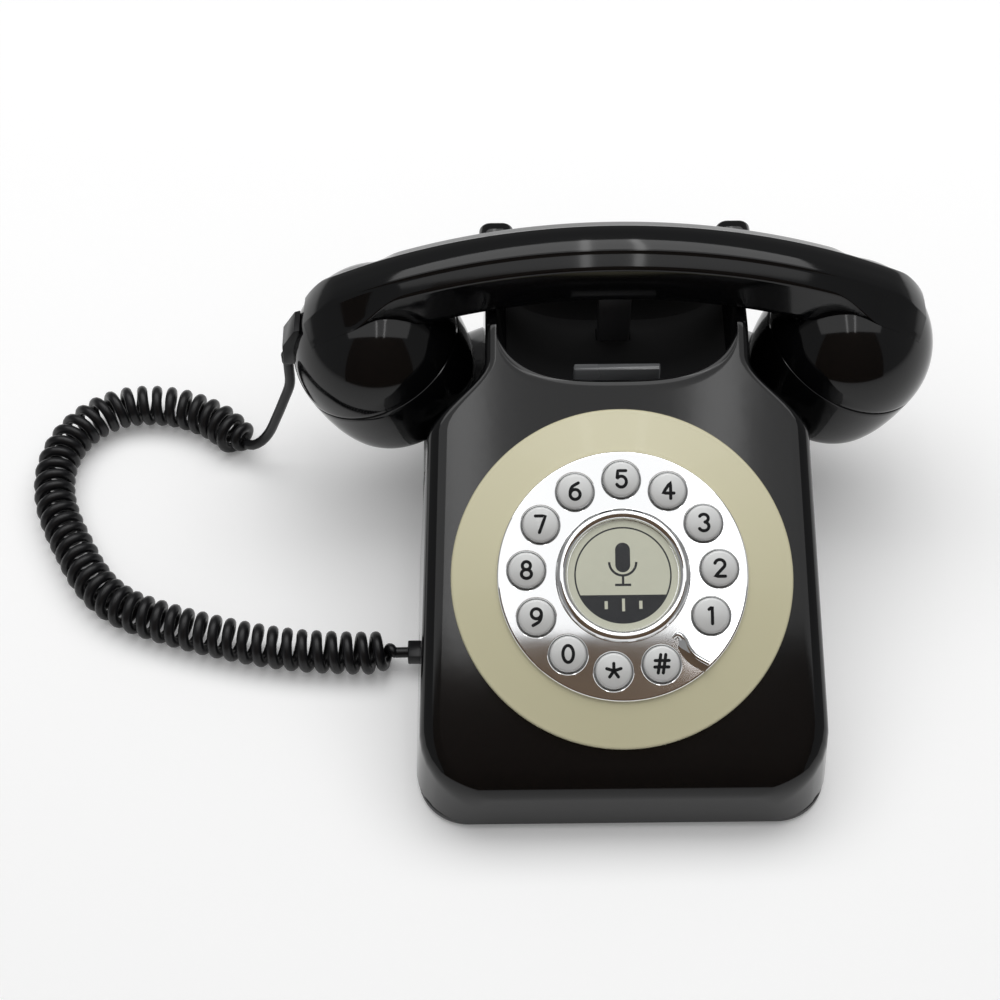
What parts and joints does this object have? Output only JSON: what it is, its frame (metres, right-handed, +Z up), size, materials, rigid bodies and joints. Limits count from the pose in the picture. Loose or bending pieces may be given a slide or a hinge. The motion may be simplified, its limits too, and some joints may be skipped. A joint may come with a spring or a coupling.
{
  "type": "desk telephone",
  "caption": "Retro desk telephone for spoken guestbook messages: sloping case, push buttons set out in a ring like a dial, lift-off handset and curly cord.",
  "frame": {"origin": "middle of the case on the table plane under the rubber feet, with the free cord left out", "axes": "+X to the user's right along the handset, +Y to the back of the case, +Z up"},
  "size_m": [0.3442, 0.198, 0.1324],
  "materials": {
    "black_gloss": "gloss moulded",
    "base_black": "fine matt grain",
    "foot_rubber": "matt",
    "screw_steel": "zinc plated",
    "board": "circuit board",
    "battery": "satin",
    "hook_grey": "translucent satin",
    "plug_clear": "smooth",
    "cream": "satin",
    "chrome": "mirror",
    "card": "printed card",
    "lens": "clear",
    "key_silver": "satin silver",
    "cord_black": "satin"
  },
  "bodies": {
    "base": {"upper_housing": "black_gloss", "base_plate": "base_black", "rubber_feet": "foot_rubber", "base_screws": "screw_steel", "ballast_plate": "screw_steel", "main_board": "board", "battery_pack": "battery", "usb_port": "screw_steel", "hook_switch": "base_black", "plunger_spring": "screw_steel", "cord_jack": "base_black", "cord_plug": "plug_clear", "dial_bezel": "cream", "dial_plate": "chrome", "finger_stop": "chrome", "centre_ring": "chrome", "centre_card": "card", "centre_lens": "lens", "keypad_mat": "foot_rubber", "keypad_board": "board", "keypad_screws": "screw_steel", "handset_cord": "cord_black"},
    "handset": {"handset_shell": "black_gloss", "earpiece_cap": "black_gloss", "mouthpiece_cap": "black_gloss", "receiver_capsule": "battery", "microphone_capsule": "battery", "handset_weight": "screw_steel", "handset_gland": "cord_black"},
    "hook": {"hook_plunger": "hook_grey", "hook_lever": "base_black"},
    "key_1": {"key_1": "key_silver"},
    "key_2": {"key_2": "key_silver"},
    "key_3": {"key_3": "key_silver"},
    "key_4": {"key_4": "key_silver"},
    "key_5": {"key_5": "key_silver"},
    "key_6": {"key_6": "key_silver"},
    "key_7": {"key_7": "key_silver"},
    "key_8": {"key_8": "key_silver"},
    "key_9": {"key_9": "key_silver"},
    "key_0": {"key_0": "key_silver"},
    "key_star": {"key_star": "key_silver"},
    "key_hash": {"key_hash": "key_silver"}
  },
  "joints": [
    {"name": "handset_lift", "type": "slide", "parent": "base", "child": "handset", "axis": [0, 0, 1], "range_m": [0, 0.09], "deforming": ["handset_cord"]},
    {"name": "hook_rise", "type": "slide", "parent": "base", "child": "hook", "axis": [0, 0, 1], "range_m": [0, 0.004], "deforming": ["plunger_spring"]},
    {"name": "key_1_press", "type": "slide", "parent": "base", "child": "key_1", "axis": [0, 0.454, -0.891], "range_m": [0, 0.0013], "stiffness_N_per_m": 400, "springref_m": -0.0003},
    {"name": "key_2_press", "type": "slide", "parent": "base", "child": "key_2", "axis": [0, 0.454, -0.891], "range_m": [0, 0.0013], "stiffness_N_per_m": 400, "springref_m": -0.0003},
    {"name": "key_3_press", "type": "slide", "parent": "base", "child": "key_3", "axis": [0, 0.454, -0.891], "range_m": [0, 0.0013], "stiffness_N_per_m": 400, "springref_m": -0.0003},
    {"name": "key_4_press", "type": "slide", "parent": "base", "child": "key_4", "axis": [0, 0.454, -0.891], "range_m": [0, 0.0013], "stiffness_N_per_m": 400, "springref_m": -0.0003},
    {"name": "key_5_press", "type": "slide", "parent": "base", "child": "key_5", "axis": [0, 0.454, -0.891], "range_m": [0, 0.0013], "stiffness_N_per_m": 400, "springref_m": -0.0003},
    {"name": "key_6_press", "type": "slide", "parent": "base", "child": "key_6", "axis": [0, 0.454, -0.891], "range_m": [0, 0.0013], "stiffness_N_per_m": 400, "springref_m": -0.0003},
    {"name": "key_7_press", "type": "slide", "parent": "base", "child": "key_7", "axis": [0, 0.454, -0.891], "range_m": [0, 0.0013], "stiffness_N_per_m": 400, "springref_m": -0.0003},
    {"name": "key_8_press", "type": "slide", "parent": "base", "child": "key_8", "axis": [0, 0.454, -0.891], "range_m": [0, 0.0013], "stiffness_N_per_m": 400, "springref_m": -0.0003},
    {"name": "key_9_press", "type": "slide", "parent": "base", "child": "key_9", "axis": [0, 0.454, -0.891], "range_m": [0, 0.0013], "stiffness_N_per_m": 400, "springref_m": -0.0003},
    {"name": "key_0_press", "type": "slide", "parent": "base", "child": "key_0", "axis": [0, 0.454, -0.891], "range_m": [0, 0.0013], "stiffness_N_per_m": 400, "springref_m": -0.0003},
    {"name": "key_star_press", "type": "slide", "parent": "base", "child": "key_star", "axis": [0, 0.454, -0.891], "range_m": [0, 0.0013], "stiffness_N_per_m": 400, "springref_m": -0.0003},
    {"name": "key_hash_press", "type": "slide", "parent": "base", "child": "key_hash", "axis": [0, 0.454, -0.891], "range_m": [0, 0.0013], "stiffness_N_per_m": 400, "springref_m": -0.0003}
  ],
  "couplings": [
    {"joint": "hook_rise", "follows": "handset_lift", "ratio": 0.044444}
  ]
}
